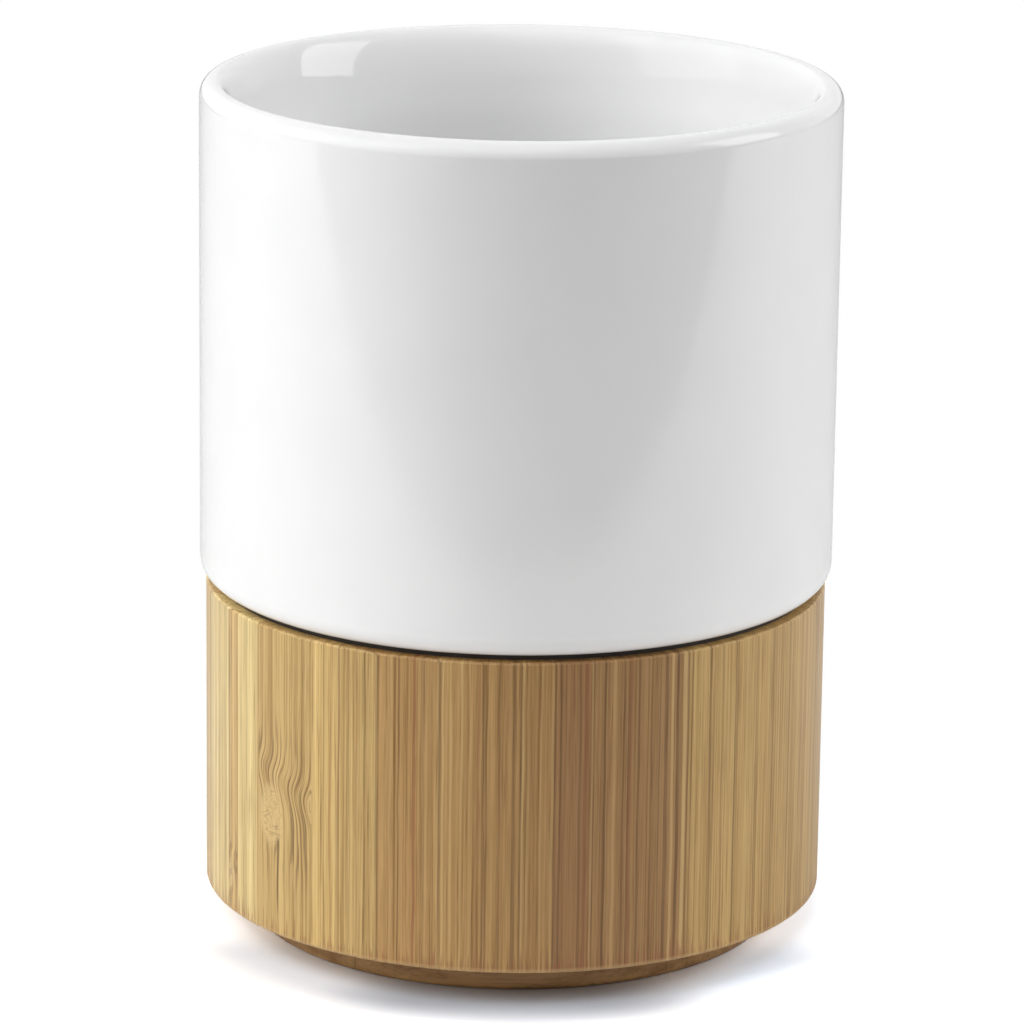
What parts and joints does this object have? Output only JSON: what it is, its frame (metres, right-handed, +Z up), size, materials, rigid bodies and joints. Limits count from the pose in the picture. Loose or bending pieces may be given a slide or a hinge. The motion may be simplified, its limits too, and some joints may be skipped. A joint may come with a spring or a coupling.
{
  "type": "coffee cup",
  "caption": "Handleless glazed ceramic cup whose neck drops into a turned, glued-up bamboo base with a foot, held by a dark silicone ring in the seam.",
  "frame": {"origin": "centre of the flat underside of the foot, on which the cup stands", "axes": "+Z up along the cup's axis, -Y towards the picture's viewer; the plies of the bamboo face front left, 225 degrees from +X"},
  "size_m": [0.082, 0.082, 0.1104],
  "materials": {
    "white_glaze": "glossy white glaze, bare on the ring under the cup",
    "dark_silicone": "matte black-brown silicone",
    "sleeve_bamboo": "turned and sanded, clear satin lacquer",
    "foot_bamboo": "turned, clear satin lacquer, a darker tone than the sleeve"
  },
  "bodies": {
    "base": {"base_disc": "foot_bamboo", "bamboo_ply_01": "sleeve_bamboo", "bamboo_ply_02": "sleeve_bamboo", "bamboo_ply_03": "sleeve_bamboo", "bamboo_ply_04": "sleeve_bamboo", "bamboo_ply_05": "sleeve_bamboo", "bamboo_ply_06": "sleeve_bamboo", "bamboo_ply_07": "sleeve_bamboo", "bamboo_ply_08": "sleeve_bamboo", "bamboo_ply_09": "sleeve_bamboo", "bamboo_ply_10": "sleeve_bamboo", "bamboo_ply_11": "sleeve_bamboo", "bamboo_ply_12": "sleeve_bamboo", "bamboo_ply_13": "sleeve_bamboo", "bamboo_ply_14": "sleeve_bamboo", "bamboo_ply_15": "sleeve_bamboo", "bamboo_ply_16": "sleeve_bamboo", "bamboo_ply_17": "sleeve_bamboo", "bamboo_ply_18": "sleeve_bamboo", "bamboo_ply_19": "sleeve_bamboo", "bamboo_ply_20": "sleeve_bamboo", "bamboo_ply_21": "sleeve_bamboo", "bamboo_ply_22": "sleeve_bamboo"},
    "cup": {"ceramic_cup": "white_glaze", "grip_ring": "dark_silicone"}
  },
  "joints": [
    {"name": "cup_lift", "type": "slide", "parent": "base", "child": "cup", "axis": [0, 0, 1], "range_m": [0, 0.05]}
  ]
}
